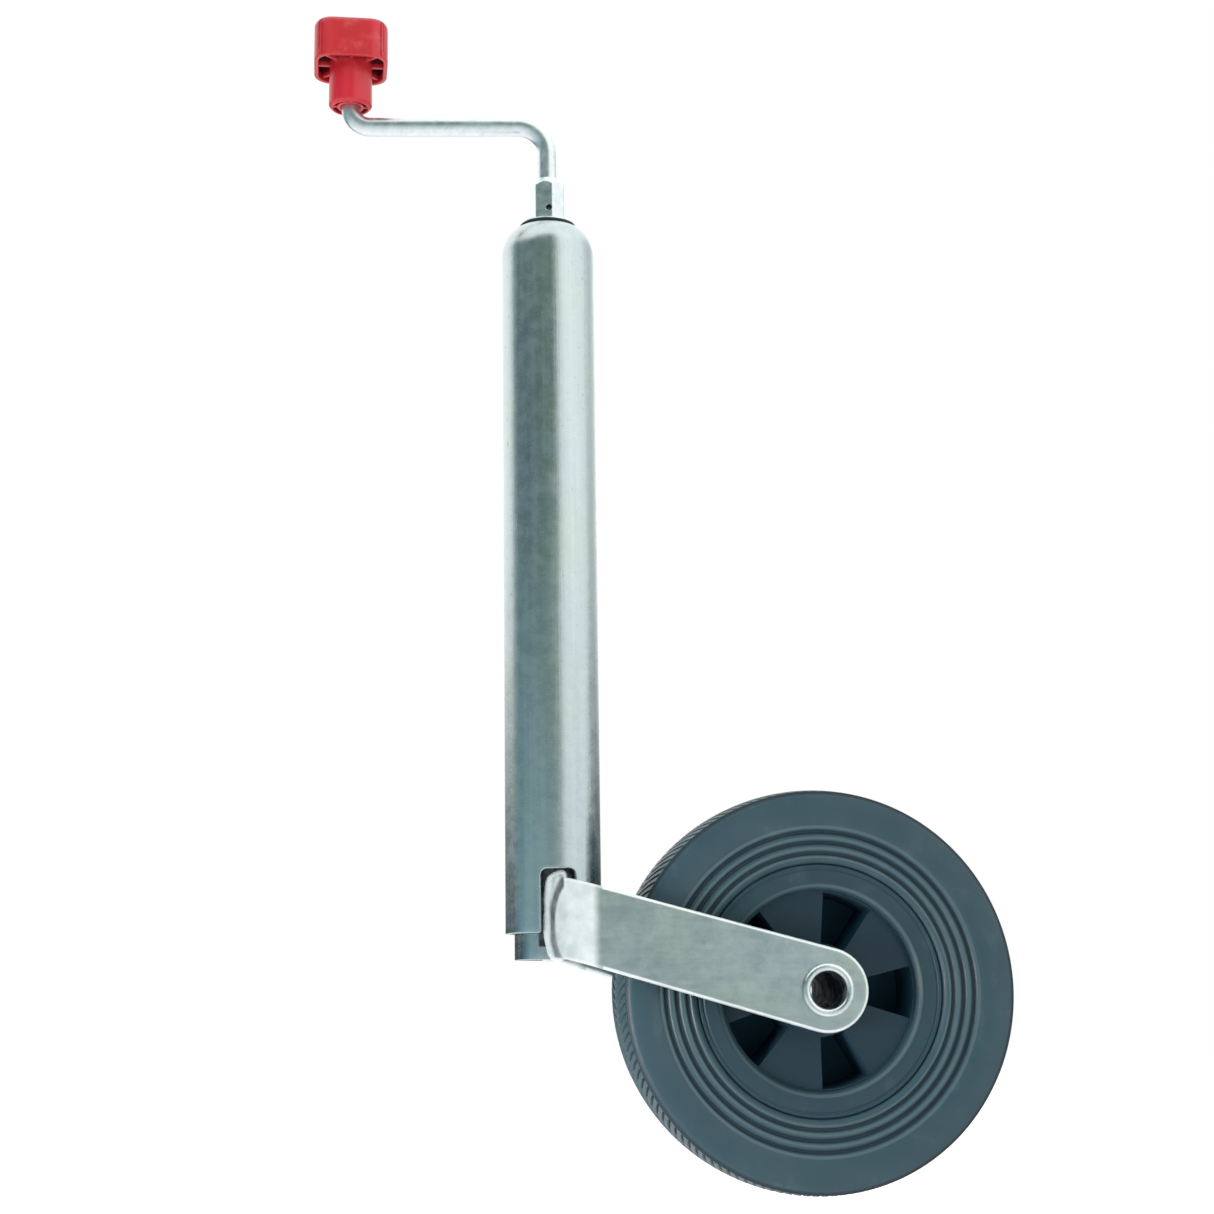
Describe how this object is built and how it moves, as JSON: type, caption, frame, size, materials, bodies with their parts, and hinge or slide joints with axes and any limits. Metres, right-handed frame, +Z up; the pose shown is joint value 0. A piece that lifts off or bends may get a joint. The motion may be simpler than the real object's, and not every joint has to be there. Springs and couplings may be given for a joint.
{
  "type": "trailer jockey wheel",
  "caption": "Trailer tongue jack: clamp tube with a crank-driven screw that lowers a leg, fork and solid rubber wheel.",
  "frame": {"origin": "on the outer tube's axis, at the middle of the length that a 48 mm clamp can grip", "axes": "+Z up the tube towards the crank, +X from the tube to the wheel, Y along the wheel's axle"},
  "size_m": [0.3544, 0.0764, 0.6124],
  "materials": {
    "zinc_tube": "bright zinc plating over drawn tube, faintly mottled",
    "zinc_strap": "zinc plating over rolled flat bar, satin",
    "zinc_bright": "bright zinc plating, smooth",
    "weld_metal": "zinc plating over rippled weld",
    "bearing_steel": "ground and greased",
    "bronze": "machined bronze",
    "nylon": "natural nylon",
    "red_plastic": "injection-moulded, semi-gloss red",
    "black_plastic": "injection-moulded, satin black",
    "black_rubber": "solid rubber, matt, faintly bloomed"
  },
  "bodies": {
    "outer": {"outer_tube": "zinc_tube", "top_bush": "zinc_bright", "upper_race": "bearing_steel", "lower_guide_bush": "nylon"},
    "bearing_cage": {"ball_cage": "nylon", "bearing_balls": "bearing_steel"},
    "crank": {"spindle": "bearing_steel", "lower_race": "bearing_steel", "stop_washer": "bearing_steel", "stop_pin": "bearing_steel", "hex_collar": "zinc_bright", "collar_pin": "bearing_steel", "crank_rod": "zinc_bright", "grip_retainer": "bearing_steel"},
    "grip": {"grip": "red_plastic"},
    "sliding_ring": {"guide_ring": "nylon"},
    "leg": {"inner_tube": "zinc_tube", "spindle_nut": "bronze", "nut_pins": "bearing_steel", "fork_strap": "zinc_strap", "weld_beads": "weld_metal", "axle_tube": "zinc_bright", "axle_washers": "zinc_bright"},
    "wheel": {"hub_bush": "nylon", "wheel_rim": "black_plastic", "tyre": "black_rubber"}
  },
  "joints": [
    {"name": "crank_turn", "type": "hinge", "parent": "outer", "child": "crank", "pos_m": [0, 0, 0.17], "axis": [0, 0, -1], "range_deg": [0, 18000]},
    {"name": "cage_roll", "type": "hinge", "parent": "outer", "child": "bearing_cage", "pos_m": [0, 0, 0.15], "axis": [0, 0, -1], "range_deg": [0, 9000]},
    {"name": "leg_slide", "type": "slide", "parent": "outer", "child": "sliding_ring", "axis": [0, 0, -1], "range_m": [0, 0.2]},
    {"name": "caster_swivel", "type": "hinge", "parent": "sliding_ring", "child": "leg", "pos_m": [0, 0, -0.19], "axis": [0, 0, 1], "range_deg": [-5, 5]},
    {"name": "wheel_spin", "type": "hinge", "parent": "leg", "child": "wheel", "pos_m": [0.1305, 0, -0.2194], "axis": [0, 1, 0], "continuous": true},
    {"name": "grip_spin", "type": "hinge", "parent": "crank", "child": "grip", "pos_m": [-0.10443, 0.01098, 0.26], "axis": [0, 0, 1], "continuous": true}
  ],
  "couplings": [
    {"joint": "leg_slide", "follows": "crank_turn", "m_per_rad": 0.00063662},
    {"joint": "cage_roll", "follows": "crank_turn", "ratio": 0.5}
  ]
}
